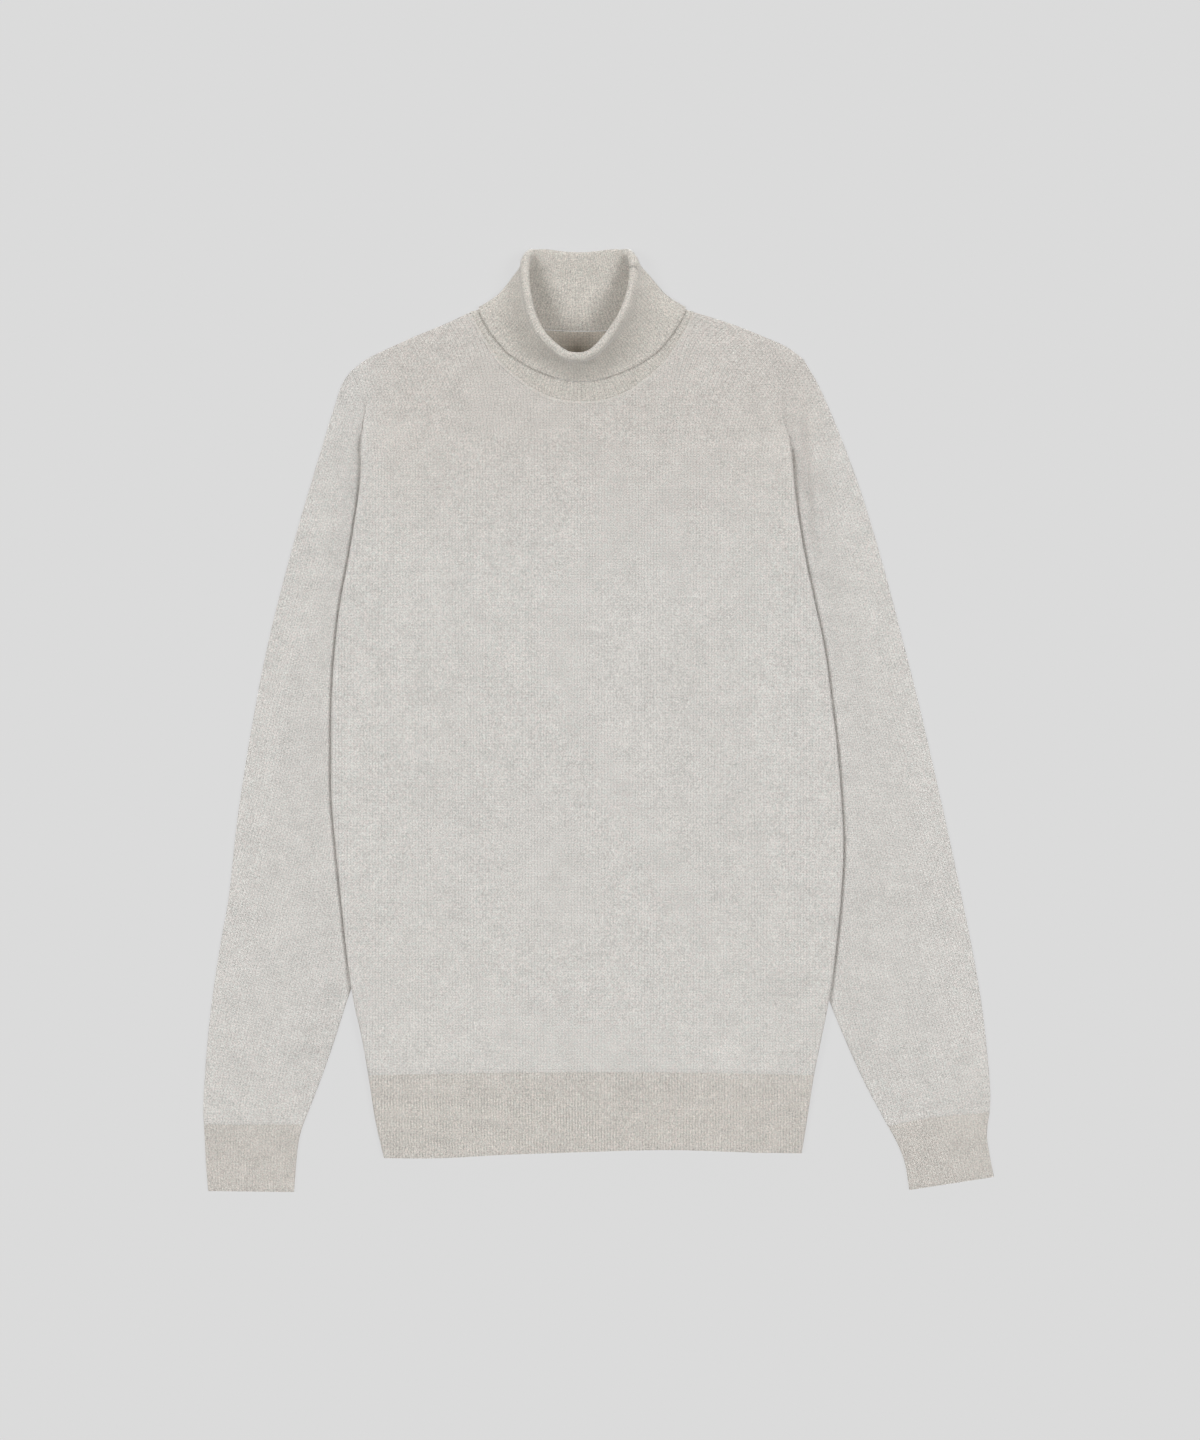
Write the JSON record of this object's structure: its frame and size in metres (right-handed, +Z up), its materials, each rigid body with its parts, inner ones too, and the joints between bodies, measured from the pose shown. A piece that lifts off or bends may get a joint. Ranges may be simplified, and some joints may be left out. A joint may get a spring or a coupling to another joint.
{
  "type": "turtleneck sweater",
  "caption": "Long-sleeved knit sweater with a turned-down turtleneck collar and ribbed hem and cuffs, laid flat on its back with the sides of the body folded under.",
  "frame": {"origin": "centre of the sweater's outline, on the surface it lies on", "axes": "+Z up out of the sweater's front, +Y from the hem towards the neck, +X towards the wearer's left sleeve"},
  "size_m": [0.6477, 0.7726, 0.0492],
  "materials": {
    "wool_knit": "fine plain knit in pale warm grey heather wool",
    "wool_rib": "fine rib knit in the same wool, slightly darker"
  },
  "bodies": {
    "root": {"front_panel": "wool_knit", "back_panel": "wool_knit", "hem_rib_front": "wool_rib", "hem_rib_back": "wool_rib", "sleeve_left": "wool_knit", "sleeve_right": "wool_knit", "cuff_left": "wool_rib", "cuff_right": "wool_rib", "collar": "wool_rib"}
  },
  "joints": []
}
